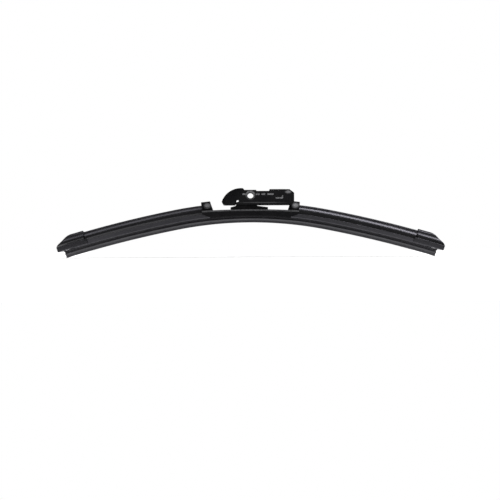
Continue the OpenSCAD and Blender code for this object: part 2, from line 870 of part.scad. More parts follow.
module adaptor_shell() {
    intersection() {
        difference() {
            across(adaptor_half) adaptor_outline();
            across(channel_half) adaptor_hollow();
        }
        translate([0, 0, adaptor_floor - over])
            linear_extrude(peak_height - adaptor_floor + 2 * over)
                polygon(rounded([
                    [-nose_reach - over, -adaptor_half, 6], [tail_reach, -adaptor_half, 1],
                    [tail_reach, adaptor_half, 1], [-nose_reach - over, adaptor_half, 6]
                ]));
    }
}

// The web that rides on the bush, the spine behind it and the ribs that tie them to the walls.
module adaptor_web() {
    roof = middle_roof_height - adaptor_roof / 2;
    rib = 1.2;
    block([-web_length / 2, -web_half, adaptor_floor + 2 * lap], [web_length / 2, web_half, roof]);
    block(
        [low_wall_start - over, -spine_width / 2, low_wall_height - lap],
        [low_wall_end + over, spine_width / 2, tail_roof_height - adaptor_roof + lap]
    );
    for (x = [notch_x - adaptor_wall, low_wall_start - rib])
        block([x, -channel_half - lap, -rib], [x + rib, channel_half + lap, roof]);
}

// The relief hole and its slit, which part the nose's lower edge from the wall.
module relief_cut() {
    depth = relief_rise + over;
    translate([-relief_reach, 0, adaptor_floor + relief_rise]) {
        cross_cylinder(relief_radius, adaptor_half + over);
        rotate([0, atan2(slit_lean, relief_rise), 0])
            block(
                [-slit_width / 2, -adaptor_half - over, -norm([depth, slit_lean])],
                [slit_width / 2, adaptor_half + over, 0]
            );
    }
}

// Plain raised bars and a stepped ledge on the outside of the side walls, for the fingers.
module grip_marks() {
    reach = adaptor_half + mark_rise;
    inside = adaptor_half - adaptor_wall / 2;
    ledge_end = ledge_start.x + ledge_length;
    difference() {
        union() {
            for (bar = bars)
                block([bar[0], -reach, bar_bottom], [bar[0] + bar[1], reach, bar_bottom + bar_height]);
            block(
                [ledge_start.x, -reach, ledge_start.y],
                [ledge_end, reach, ledge_start.y + ledge_thickness]
            );
            block(
                [ledge_end - ledge_thickness, -reach, ledge_start.y],
                [ledge_end, reach, ledge_start.y + ledge_height]
            );
        }
        block([-nose_reach, -inside, adaptor_floor], [tail_reach, inside, peak_height]);
    }
}

// Slanting facets on the tail's upper edges, for the thumb.
module thumb_facets() {
    length = 10;
    for (front = [0, 1])
        mirror([0, front, 0])
            translate([tail_reach - length, adaptor_half, tail_roof_height - 2 * lap])
                rotate([0, 12, 0]) rotate([-40, 0, 0])
                    translate([-over, -length, 0]) cube([2 * length, 2 * length, length]);
}

// The notch in the tail's end wall, which lets the collar pass as the blade rocks.
module collar_notch() {
    half = collar_head_width / 2 + swing_gap;
    block(
        [tail_reach - 2 * adaptor_wall, -half, adaptor_floor - over],
        [tail_reach + over, half, notch_top]
    );
}

// The raised rings round the arm pin bore on both walls.
module bore_ring() {
    difference() {
        cross_cylinder(ring_radius, adaptor_half + ring_rise);
        cross_cylinder(ring_radius + over, channel_half + adaptor_wall / 2);
    }
}

module arm_adaptor() {
    color([0.08, 0.08, 0.085])
        difference() {
            union() {
                adaptor_shell();
                adaptor_web();
                grip_marks();
                bore_ring();
            }
            cross_cylinder(bore_radius, adaptor_half + over);
            cross_cylinder(bush_radius + bush_fit, web_half + over, 0, -bore_rise);
            block(
                [-mouth_width / 2, -web_half - over, adaptor_floor - over],
                [mouth_width / 2, web_half + over, -bore_rise]
            );
            relief_cut();
            thumb_facets();
            collar_notch();
        }
}

wiping_rubber();
spring_rail(-1);  // spring_rail_front
spring_rail(1);  // spring_rail_rear
spoiler(true);  // spoiler_left
spoiler(false);  // spoiler_right
end_clamp(true);  // end_clamp_left
end_clamp(false);  // end_clamp_right
end_cap(true);  // end_cap_left
end_cap(false);  // end_cap_right
centre_cover();
base_bracket();
pivot_base();
pivot_pin();
pivot_bush();
arm_adaptor();
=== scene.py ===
import bmesh
import bpy
import json
import math
from mathutils import Matrix, Vector


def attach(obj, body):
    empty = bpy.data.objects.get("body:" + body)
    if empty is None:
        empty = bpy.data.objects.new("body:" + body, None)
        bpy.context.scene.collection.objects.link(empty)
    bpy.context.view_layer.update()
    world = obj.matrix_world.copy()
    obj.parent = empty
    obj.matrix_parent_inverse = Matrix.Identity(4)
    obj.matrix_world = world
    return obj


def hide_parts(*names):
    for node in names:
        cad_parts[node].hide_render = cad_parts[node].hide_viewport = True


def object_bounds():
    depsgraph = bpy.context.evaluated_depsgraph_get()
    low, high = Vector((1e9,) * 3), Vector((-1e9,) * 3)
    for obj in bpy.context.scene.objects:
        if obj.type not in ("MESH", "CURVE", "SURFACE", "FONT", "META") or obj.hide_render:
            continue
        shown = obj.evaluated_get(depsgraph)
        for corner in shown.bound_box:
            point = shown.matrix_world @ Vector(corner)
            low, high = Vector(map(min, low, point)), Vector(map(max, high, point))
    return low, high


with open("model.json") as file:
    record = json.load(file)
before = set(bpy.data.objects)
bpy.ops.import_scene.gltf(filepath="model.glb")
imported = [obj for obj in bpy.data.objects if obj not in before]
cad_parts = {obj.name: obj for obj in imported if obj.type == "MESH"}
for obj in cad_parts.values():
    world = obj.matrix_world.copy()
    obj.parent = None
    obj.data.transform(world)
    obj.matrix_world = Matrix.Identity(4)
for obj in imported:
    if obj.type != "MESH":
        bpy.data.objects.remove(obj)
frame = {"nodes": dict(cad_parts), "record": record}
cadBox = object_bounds()
nodes = frame["nodes"]

# camera, level with the photograph's middle, lengths in metres and angles in degrees
cameraView = {
    "distance": 0.700, "frameWidth": 0.510, "centre": (-0.0007, -0.0553), "roll": -0.3, "farClip": 20,
}


def makeCamera(view):
    data = bpy.data.cameras.new("studioCamera")
    data.angle = 2 * math.atan(view["frameWidth"] / 2 / view["distance"])
    data.clip_end = view["farClip"]
    camera = bpy.data.objects.new("studioCamera", data)
    camera.location = (view["centre"][0], -view["distance"], view["centre"][1])
    turn = Matrix.Rotation(math.radians(90), 4, "X") @ Matrix.Rotation(math.radians(view["roll"]), 4, "Z")
    camera.rotation_euler = turn.to_euler()
    bpy.context.scene.collection.objects.link(camera)
    bpy.context.scene.camera = camera


makeCamera(cameraView)
print("camera made")


# node helpers, shared by the shader groups, the materials and the sweeps
def addNode(tree, kind, settings=None, values=None, links=None):
    node = tree.nodes.new(kind)
    for key, value in (settings or {}).items():
        setattr(node, key, value)
    for key, value in (values or {}).items():
        node.inputs[key].default_value = value
    for key, socket in (links or {}).items():
        tree.links.new(socket, node.inputs[key])
    return node


def mathNode(tree, operation, *parts):
    node = tree.nodes.new("ShaderNodeMath")
    node.operation = operation
    for index, part in enumerate(parts):
        if isinstance(part, (int, float)):
            node.inputs[index].default_value = part
        else:
            tree.links.new(part, node.inputs[index])
    return node.outputs[0]


def vectorNode(tree, operation, *parts):
    return addNode(tree, "ShaderNodeVectorMath", {"operation": operation}, links=dict(enumerate(parts)))


def mixColors(tree, mask, first, second):
    # a plain colour is set on its socket, and a socket is linked
    mix = addNode(tree, "ShaderNodeMix", {"data_type": "RGBA"}, links={"Factor": mask})
    sockets = {item.identifier: item for item in mix.inputs}
    for identifier, color in (("A_Color", first), ("B_Color", second)):
        if isinstance(color, tuple):
            sockets[identifier].default_value = (*color, 1)
        else:
            tree.links.new(color, sockets[identifier])
    return {item.identifier: item for item in mix.outputs}["Result_Color"]


def newGroup(name, kind, inputs, outputs):
    tree = bpy.data.node_groups.new(name, kind)
    for label, socketKind, value in inputs:
        socket = tree.interface.new_socket(label, in_out="INPUT", socket_type=socketKind)
        if value is not None:
            socket.default_value = value
    for label, socketKind in outputs:
        tree.interface.new_socket(label, in_out="OUTPUT", socket_type=socketKind)
    return tree, tree.nodes.new("NodeGroupInput"), tree.nodes.new("NodeGroupOutput")


def noiseNode(tree, vector, scale, detail=2.0, rough=0.5):
    values = {"Detail": detail, "Roughness": rough}
    links = {"Vector": vector}
    if isinstance(scale, (int, float)):
        values["Scale"] = scale
    else:
        links["Scale"] = scale
    return addNode(tree, "ShaderNodeTexNoise", values=values, links=links).outputs["Fac"]


def mapRange(tree, value, low, high, toLow, toHigh, smooth=False):
    node = addNode(tree, "ShaderNodeMapRange", {"interpolation_type": "SMOOTHSTEP" if smooth else "LINEAR"})
    parts = {"Value": value, "From Min": low, "From Max": high, "To Min": toLow, "To Max": toHigh}
    for key, part in parts.items():
        if isinstance(part, (int, float)):
            node.inputs[key].default_value = part
        else:
            tree.links.new(part, node.inputs[key])
    return node.outputs["Result"]


# shader groups, each with the values that shape its pattern
grainShape = {
    "fineDetail": 3, "fineRough": 0.6, "fineHeight": 0.6, "fineSheen": 0.4, "peelScale": 420,
    "peelHeight": 0.9, "slowScale": 38, "slowDetail": 3, "slowLow": 0.3, "slowHigh": 0.7, "middle": 0.7,
    "sheenGain": 2.0,
}


def makeGrainGroup(shape):
    # moulded grain: a fine sparkle, a soft orange peel and slow changes of sheen
    tree, source, sink = newGroup(
        "mouldedGrain", "ShaderNodeTree",
        [
            ("Vector", "NodeSocketVector", None), ("Grain Scale", "NodeSocketFloat", 3500.0),
            ("Roughness", "NodeSocketFloat", 0.4), ("Sheen Change", "NodeSocketFloat", 0.08),
        ],
        [("Height", "NodeSocketFloat"), ("Roughness", "NodeSocketFloat"), ("Mottle", "NodeSocketFloat")],
    )
    value = source.outputs
    fine = noiseNode(tree, value["Vector"], value["Grain Scale"], shape["fineDetail"], shape["fineRough"])
    peel = noiseNode(tree, value["Vector"], shape["peelScale"])
    slow = noiseNode(tree, value["Vector"], shape["slowScale"], shape["slowDetail"])
    fineHeight = mathNode(tree, "MULTIPLY", fine, shape["fineHeight"])
    height = mathNode(tree, "MULTIPLY_ADD", peel, shape["peelHeight"], fineHeight)
    tree.links.new(height, sink.inputs["Height"])
    both = mathNode(tree, "ADD", slow, mathNode(tree, "MULTIPLY", fine, shape["fineSheen"]))
    offMiddle = mathNode(tree, "SUBTRACT", both, shape["middle"])
    change = mathNode(tree, "MULTIPLY", offMiddle, value["Sheen Change"])
    roughness = mathNode(tree, "MULTIPLY_ADD", change, shape["sheenGain"], value["Roughness"])
    tree.links.new(roughness, sink.inputs["Roughness"])
    tree.links.new(mapRange(tree, slow, shape["slowLow"], shape["slowHigh"], 0, 1), sink.inputs["Mottle"])
    return tree


dustShape = {
    "cloudScale": 55, "cloudDetail": 4, "cloudRough": 0.6, "cloudLow": 0.42, "cloudHigh": 0.7,
    "cloudShare": 0.12, "speckScale": 2600, "speckDetail": 1, "speckLow": 0.66, "speckHigh": 0.74,
    "speckShare": 0.5, "roughening": 0.4,
}


def makeDustGroup(shape):
    # fine dust: scattered specks on soft clouds, heavier where the clouds are thick
    tree, source, sink = newGroup(
        "fineDust", "ShaderNodeTree",
        [
            ("Vector", "NodeSocketVector", None), ("Amount", "NodeSocketFloat", 0.3),
            ("Color", "NodeSocketColor", None), ("Dust Color", "NodeSocketColor", (0.16, 0.15, 0.14, 1)),
            ("Roughness", "NodeSocketFloat", 0.4),
        ],
        [("Color", "NodeSocketColor"), ("Roughness", "NodeSocketFloat")],
    )
    value = source.outputs
    vector = value["Vector"]
    cloudNoise = noiseNode(tree, vector, shape["cloudScale"], shape["cloudDetail"], shape["cloudRough"])
    clouds = mapRange(tree, cloudNoise, shape["cloudLow"], shape["cloudHigh"], 0, 1, True)
    speckNoise = noiseNode(tree, vector, shape["speckScale"], shape["speckDetail"])
    specks = mapRange(tree, speckNoise, shape["speckLow"], shape["speckHigh"], 0, 1, True)
    cloudPart = mathNode(tree, "MULTIPLY", clouds, shape["cloudShare"])
    mask = mathNode(tree, "MULTIPLY_ADD", specks, shape["speckShare"], cloudPart)
    mask = mathNode(tree, "MULTIPLY", mask, value["Amount"])
    color = mixColors(tree, mask, value["Color"], value["Dust Color"])
    roughness = mathNode(tree, "MULTIPLY_ADD", mask, shape["roughening"], value["Roughness"])
    tree.links.new(color, sink.inputs["Color"])
    tree.links.new(roughness, sink.inputs["Roughness"])
    return tree


streakShape = {
    "stretch": (0.012, 1.0, 1.0), "lineDetail": 3, "lineRough": 0.55, "patchScale": 700, "patchLow": 0.35,
    "patchHigh": 0.65,
}


def makeStreakGroup(shape):
    # drawn lines: what an extruder or a rolling mill leaves along the blade
    tree, source, sink = newGroup(
        "drawnLines", "ShaderNodeTree",
        [("Vector", "NodeSocketVector", None), ("Line Scale", "NodeSocketFloat", 2400.0)],
        [("Lines", "NodeSocketFloat"), ("Patches", "NodeSocketFloat")],
    )
    value = source.outputs
    stretched = addNode(
        tree, "ShaderNodeMapping", values={"Scale": shape["stretch"]}, links={"Vector": value["Vector"]}
    ).outputs["Vector"]
    lines = noiseNode(tree, stretched, value["Line Scale"], shape["lineDetail"], shape["lineRough"])
    tree.links.new(lines, sink.inputs["Lines"])
    patchNoise = noiseNode(tree, stretched, shape["patchScale"])
    patches = mapRange(tree, patchNoise, shape["patchLow"], shape["patchHigh"], 0, 1, True)
    tree.links.new(patches, sink.inputs["Patches"])
    return tree


raisedHighlightShape = {
    "proudLow": 0.00004, "proudHigh": 0.00016, "noiseScale": 900, "noiseDetail": 3, "noiseRough": 0.6,
    "noiseLow": 0.3, "noiseHigh": 0.62, "least": 0.35,
}


def makeRaisedHighlightGroup(shape):
    # painted highlight: a paler colour on what stands proud of a side wall, at a distance from the middle
    # plane, broken up by noise
    tree, source, sink = newGroup(
        "raisedWear", "ShaderNodeTree",
        [
            ("Vector", "NodeSocketVector", None), ("Wall Distance", "NodeSocketFloat", 0.008),
            ("Amount", "NodeSocketFloat", 0.6),
        ],
        [("Mask", "NodeSocketFloat")],
    )
    value = source.outputs
    across = addNode(tree, "ShaderNodeSeparateXYZ", links={0: value["Vector"]}).outputs["Y"]
    proud = mathNode(tree, "SUBTRACT", mathNode(tree, "ABSOLUTE", across), value["Wall Distance"])
    raised = mapRange(tree, proud, shape["proudLow"], shape["proudHigh"], 0, 1, True)
    noise = noiseNode(tree, value["Vector"], shape["noiseScale"], shape["noiseDetail"], shape["noiseRough"])
    broken = mapRange(tree, noise, shape["noiseLow"], shape["noiseHigh"], shape["least"], 1, True)
    mask = mathNode(tree, "MULTIPLY", mathNode(tree, "MULTIPLY", raised, broken), value["Amount"])
    tree.links.new(mask, sink.inputs["Mask"])
    return tree


paintedPatchShape = {
    "noiseScale": 700, "noiseDetail": 3, "noiseRough": 0.6, "ragged": 0.5, "fullAt": 0.5, "goneAt": 1.25,
}


def makePaintedPatchGroup(shape):
    # a soft-edged patch mask, the same on both sides of the blade, for painted highlights and for the
    # painted shade that takes them back
    tree, source, sink = newGroup(
        "wornPatch", "ShaderNodeTree",
        [
            ("Vector", "NodeSocketVector", None), ("Centre", "NodeSocketVector", None),
            ("Stretch", "NodeSocketVector", (1, 0, 1)), ("Radius", "NodeSocketFloat", 0.003),
            ("Amount", "NodeSocketFloat", 0.5),
        ],
        [("Mask", "NodeSocketFloat")],
    )
    value = source.outputs
    apart = vectorNode(tree, "SUBTRACT", value["Vector"], value["Centre"]).outputs["Vector"]
    scaled = vectorNode(tree, "MULTIPLY", apart, value["Stretch"]).outputs["Vector"]
    distance = vectorNode(tree, "LENGTH", scaled).outputs["Value"]
    ratio = mathNode(tree, "DIVIDE", distance, value["Radius"])
    noise = noiseNode(tree, value["Vector"], shape["noiseScale"], shape["noiseDetail"], shape["noiseRough"])
    ragged = mathNode(tree, "MULTIPLY_ADD", noise, shape["ragged"], ratio)
    inside = mapRange(tree, ragged, shape["fullAt"], shape["goneAt"], 1, 0, True)
    tree.links.new(mathNode(tree, "MULTIPLY", inside, value["Amount"]), sink.inputs["Mask"])
    return tree


grainGroup = makeGrainGroup(grainShape)
raisedHighlightGroup = makeRaisedHighlightGroup(raisedHighlightShape)
paintedPatchGroup = makePaintedPatchGroup(paintedPatchShape)
dustGroup = makeDustGroup(dustShape)
streakGroup = makeStreakGroup(streakShape)


# materials, from looks that hold their colours, roughness and bump
def startMaterial(name, look):
    material = bpy.data.materials.new(name)
    material.use_nodes = True
    tree = material.node_tree
    shader = tree.nodes["Principled BSDF"]
    shader.inputs["Specular IOR Level"].default_value = look["specular"]
    shader.inputs["Specular Tint"].default_value = (*look["tint"], 1)
    shader.inputs["Metallic"].default_value = look["metallic"]
    return material, tree, shader


def placeGroup(tree, group, values, links):
    return addNode(tree, "ShaderNodeGroup", {"node_tree": group}, values, links).outputs


def finishSurface(tree, shader, look, vector, color, roughness, height):
    dust = placeGroup(
        tree, dustGroup, {"Amount": look["dust"]}, {"Vector": vector, "Color": color, "Roughness": roughness}
    )
    tree.links.new(dust["Color"], shader.inputs["Base Color"])
    tree.links.new(dust["Roughness"], shader.inputs["Roughness"])
    bump = addNode(
        tree, "ShaderNodeBump", values={"Strength": look["bump"], "Distance": look["bumpDistance"]},
        links={"Height": height},
    )
    tree.links.new(bump.outputs["Normal"], shader.inputs["Normal"])


def paintedHighlightMask(tree, look, vector):
    # painted highlights: the strongest of the raised marks and the highlight patches, less the painted shade
    # patches
    masks = []
    if look["wallDistance"]:
        values = {"Wall Distance": look["wallDistance"], "Amount": look["wear"]}
        masks.append(placeGroup(tree, raisedHighlightGroup, values, {"Vector": vector})["Mask"])
    for patch in look["patches"]:
        masks.append(placeGroup(tree, paintedPatchGroup, patch, {"Vector": vector})["Mask"])
    if not masks:
        return None
    mask = masks[0]
    for other in masks[1:]:
        mask = mathNode(tree, "MAXIMUM", mask, other)
    for patch in look["shadedPatches"]:
        shade = placeGroup(tree, paintedPatchGroup, patch, {"Vector": vector})["Mask"]
        mask = mathNode(tree, "MULTIPLY", mask, mathNode(tree, "SUBTRACT", 1.0, shade))
    return mask


def plasticMaterial(name, look):
    material, tree, shader = startMaterial(name, look)
    vector = addNode(tree, "ShaderNodeTexCoord").outputs["Object"]
    values = {"Grain Scale": look["grainScale"], "Roughness": look["roughness"]}
    values["Sheen Change"] = look["sheenChange"]
    grain = placeGroup(tree, grainGroup, values, {"Vector": vector})
    color = mixColors(tree, grain["Mottle"], look["color"], look["paleColor"])
    mask = paintedHighlightMask(tree, look, vector)
    # painted highlight: a paler colour where the highlight mask is
    if mask:
        color = mixColors(tree, mask, color, look["wornColor"])
    finishSurface(tree, shader, look, vector, color, grain["Roughness"], grain["Height"])
    return material


def drawnMaterial(name, look):
    # rubber and steel, with lines along the blade
    material, tree, shader = startMaterial(name, look)
    vector = addNode(tree, "ShaderNodeTexCoord").outputs["Object"]
    streaks = placeGroup(tree, streakGroup, {"Line Scale": look["lineScale"]}, {"Vector": vector})
    color = mixColors(tree, streaks["Patches"], look["color"], look["paleColor"])
    smoothest, roughest = look["roughness"] - look["smoother"], look["roughness"] + look["rougher"]
    roughness = mapRange(tree, streaks["Lines"], look["lineLow"], look["lineHigh"], smoothest, roughest)
    height = streaks["Lines"]
    if look["grainScale"]:
        grain = placeGroup(tree, grainGroup, {"Grain Scale": look["grainScale"]}, {"Vector": vector})
        height = mathNode(tree, "MULTIPLY_ADD", height, look["lineHeight"], grain["Height"])
    finishSurface(tree, shader, look, vector, color, roughness, height)
    return material


plasticLook = {
    "specular": 0.5, "tint": (0.9, 0.88, 1.0), "metallic": 0.0, "color": (0.006, 0.006, 0.0065),
    "paleColor": (0.009, 0.009, 0.0095), "grainScale": 3500.0, "sheenChange": 0.07, "dust": 0.1,
    "bump": 0.25, "bumpDistance": 0.00006, "wallDistance": 0, "patches": [], "shadedPatches": [],
    # the colour of painted highlights
    "wornColor": (0.14, 0.14, 0.145),
}
rubberLook = {
    "specular": 0.3, "tint": (0.9, 0.88, 1.0), "metallic": 0.0, "color": (0.01, 0.01, 0.0105),
    "paleColor": (0.016, 0.016, 0.0165), "lineScale": 2400.0, "lineLow": 0.3, "lineHigh": 0.7,
    "roughness": 0.34, "smoother": 0.06, "rougher": 0.08, "dust": 0.15, "bump": 0.3,
    "bumpDistance": 0.00005, "grainScale": 3500.0, "lineHeight": 0.8,
}
steelLook = {
    "specular": 0.5, "tint": (1, 1, 1), "metallic": 1.0, "color": (0.5, 0.5, 0.51),
    "paleColor": (0.62, 0.62, 0.63), "lineScale": 3000.0, "lineLow": 0.3, "lineHigh": 0.7,
    "roughness": 0.3, "smoother": 0.07, "rougher": 0.09, "dust": 0.15, "bump": 0.25,
    "bumpDistance": 0.00004, "grainScale": 0,
}
# painted highlights at the thumb facet, along the adaptor's lower edge and on the two collars, and painted
# shade that keeps the bore's raised ring dark below its top
ringShade = {"Centre": (0, 0, -0.0022), "Stretch": (0.8, 0, 1), "Radius": 0.0058, "Amount": 0.9}
thumbHighlight = {"Centre": (0.0382, 0, 0.0032), "Stretch": (0.6, 0, 1.25), "Radius": 0.0026, "Amount": 0.8}
lowerEdgeHighlight = {"Centre": (0.012, 0, -0.0074), "Stretch": (0.04, 0, 1.6), "Radius": 0.0012, "Amount": 0.22}
collarHighlights = [
    {"Centre": centre, "Stretch": (0.8, 0, 1), "Radius": 0.0036, "Amount": amount}
    for centre, amount in (((-0.0436, 0, -0.0103), 0.34), ((0.0456, 0, -0.0103), 0.55))
]
slotLooks = {
    "spoiler": (plasticMaterial, plasticLook, {"roughness": 0.24, "specular": 0.42}),
    "cap_plastic": (
        plasticMaterial, plasticLook,
        {"roughness": 0.28, "specular": 0.36, "paleColor": (0.01, 0.01, 0.0105)},
    ),
    # painted highlights on the cover's raised rims and on its two collars
    "cover_plastic": (
        plasticMaterial, plasticLook,
        {
            "roughness": 0.29, "specular": 0.09, "color": (0.002, 0.002, 0.0022),
            "paleColor": (0.004, 0.004, 0.0042), "wallDistance": 0.0081, "wear": 0.16,
            "patches": collarHighlights, "wornColor": (0.3, 0.3, 0.31),
        },
    ),
    "base_plastic": (
        plasticMaterial, plasticLook,
        {
            "roughness": 0.36, "specular": 0.06, "color": (0.0012, 0.0012, 0.0012),
            "paleColor": (0.0025, 0.0025, 0.0025),
        },
    ),
    # painted highlights on the adaptor's raised marks and ring top, at the thumb facet and along its lower
    # edge, with painted shade below the ring's top
    "adaptor_plastic": (
        plasticMaterial, plasticLook,
        {
            "roughness": 0.28, "specular": 0.1, "bump": 0.3, "color": (0.002, 0.002, 0.0022),
            "paleColor": (0.0045, 0.0045, 0.0047), "wallDistance": 0.008, "wear": 0.85,
            "patches": [thumbHighlight, lowerEdgeHighlight], "shadedPatches": [ringShade],
        },
    ),
    "bush_plastic": (
        plasticMaterial, plasticLook,
        {"color": (0.55, 0.53, 0.47), "paleColor": (0.62, 0.6, 0.54), "roughness": 0.45},
    ),
    "wiping_rubber": (drawnMaterial, rubberLook, {}),
    "spring_steel": (
        drawnMaterial, steelLook, {"color": (0.36, 0.37, 0.39), "paleColor": (0.48, 0.48, 0.5)},
    ),
    "clamp_steel": (
        drawnMaterial, steelLook, {"color": (0.55, 0.55, 0.56), "paleColor": (0.66, 0.66, 0.67)},
    ),
    "bracket_steel": (
        drawnMaterial, steelLook,
        {
            "color": (0.018, 0.018, 0.019), "paleColor": (0.03, 0.03, 0.031), "roughness": 0.42,
            "metallic": 0.0,
        },
    ),
    "pin_steel": (drawnMaterial, steelLook, {"roughness": 0.26}),
}
slotMaterials = {}
for slotName, (makeMaterial, look, changes) in slotLooks.items():
    slotMaterials[slotName] = makeMaterial(slotName, {**look, **changes})
nodeSlots = {row["node"]: row["material_slot"] for row in frame["record"]["subparts"]}
for nodeName, slotName in nodeSlots.items():
    nodes[nodeName].data.materials.clear()
    nodes[nodeName].data.materials.append(slotMaterials[slotName])
print("materials made")


# finishing of a piece: smooth faces, sharp creases and weighted normals, all made part of its mesh
def settleModifiers(piece):
    bpy.context.view_layer.update()
    settled = bpy.data.meshes.new_from_object(piece.evaluated_get(bpy.context.evaluated_depsgraph_get()))
    settled.name = piece.name
    piece.modifiers.clear()
    piece.data = settled


def smoothFaces(mesh, creaseAngle):
    bm = bmesh.new()
    bm.from_mesh(mesh)
    for face in bm.faces:
        face.smooth = True
    for edge in bm.edges:
        edge.smooth = len(edge.link_faces) == 2 and edge.calc_face_angle(math.pi) < math.radians(creaseAngle)
    bm.to_mesh(mesh)
    bm.free()


def finishPiece(piece, nodeName, creaseAngle):
    smoothFaces(piece.data, creaseAngle)
    weighted = piece.modifiers.new("weighted", "WEIGHTED_NORMAL")
    weighted.keep_sharp = True
    settleModifiers(piece)
    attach(piece, "adaptor" if nodeName == "arm_adaptor" else "blade")
    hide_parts(nodeName)


# sweeps along the bowed lip edge, lengths in metres and angles in degrees
bow = {"middleRadius": 0.390, "middleTurn": 11, "outerRadius": 1.120, "lipDepth": 0.0272, "creaseAngle": 34}
bowSizes = {
    "Middle Radius": bow["middleRadius"],
    "Middle Reach": bow["middleRadius"] * math.radians(bow["middleTurn"]),
    "Outer Radius": bow["outerRadius"], "Lip Depth": bow["lipDepth"],
}


def makeSweepGroup():
    tree, source, sink = newGroup(
        "bowSweep", "GeometryNodeTree",
        [
            ("Section", "NodeSocketGeometry", None), ("Start", "NodeSocketFloat", 0.0),
            ("End", "NodeSocketFloat", 0.1), ("Step", "NodeSocketFloat", 0.002),
        ]
        + [(label, "NodeSocketFloat", value) for label, value in bowSizes.items()],
        [("Geometry", "NodeSocketGeometry")],
    )
    value = source.outputs
    line = addNode(
        tree, "GeometryNodeCurvePrimitiveLine",
        links={
            "Start": addNode(tree, "ShaderNodeCombineXYZ", links={"X": value["Start"]}).outputs[0],
            "End": addNode(tree, "ShaderNodeCombineXYZ", links={"X": value["End"]}).outputs[0],
        },
    )
    stations = addNode(
        tree, "GeometryNodeResampleCurve", {"mode": "LENGTH"},
        links={"Curve": line.outputs["Curve"], "Length": value["Step"]},
    )
    along = addNode(
        tree, "ShaderNodeSeparateXYZ", links={0: addNode(tree, "GeometryNodeInputPosition").outputs[0]}
    ).outputs[0]
    distance = mathNode(tree, "ABSOLUTE", along)
    side = mathNode(tree, "SIGN", along)
    inner = mathNode(tree, "MINIMUM", distance, value["Middle Reach"])
    firstTurn = mathNode(tree, "DIVIDE", inner, value["Middle Radius"])
    rest = mathNode(tree, "DIVIDE", mathNode(tree, "SUBTRACT", distance, inner), value["Outer Radius"])
    fullTurn = mathNode(tree, "ADD", firstTurn, rest)
    sines = [mathNode(tree, "SINE", turn) for turn in (firstTurn, fullTurn)]
    cosines = [mathNode(tree, "COSINE", turn) for turn in (firstTurn, fullTurn)]
    reach = mathNode(
        tree, "MULTIPLY_ADD", mathNode(tree, "SUBTRACT", sines[1], sines[0]), value["Outer Radius"],
        mathNode(tree, "MULTIPLY", sines[0], value["Middle Radius"]),
    )
    fall = mathNode(
        tree, "MULTIPLY_ADD", mathNode(tree, "SUBTRACT", cosines[0], cosines[1]), value["Outer Radius"],
        mathNode(tree, "MULTIPLY", mathNode(tree, "SUBTRACT", 1.0, cosines[0]), value["Middle Radius"]),
    )
    height = mathNode(tree, "SUBTRACT", mathNode(tree, "MULTIPLY", fall, -1.0), value["Lip Depth"])
    place = addNode(
        tree, "ShaderNodeCombineXYZ", links={"X": mathNode(tree, "MULTIPLY", reach, side), "Z": height}
    )
    bent = addNode(
        tree, "GeometryNodeSetPosition",
        links={"Geometry": stations.outputs["Curve"], "Position": place.outputs[0]},
    )
    upright = addNode(tree, "GeometryNodeSetCurveNormal", {"mode": "Z_UP"}, links={"Curve": bent.outputs[0]})
    swept = addNode(
        tree, "GeometryNodeCurveToMesh", values={"Fill Caps": True},
        links={"Curve": upright.outputs[0], "Profile Curve": value["Section"]},
    )
    tree.links.new(swept.outputs[0], sink.inputs[0])
    return tree


sweepGroup = makeSweepGroup()


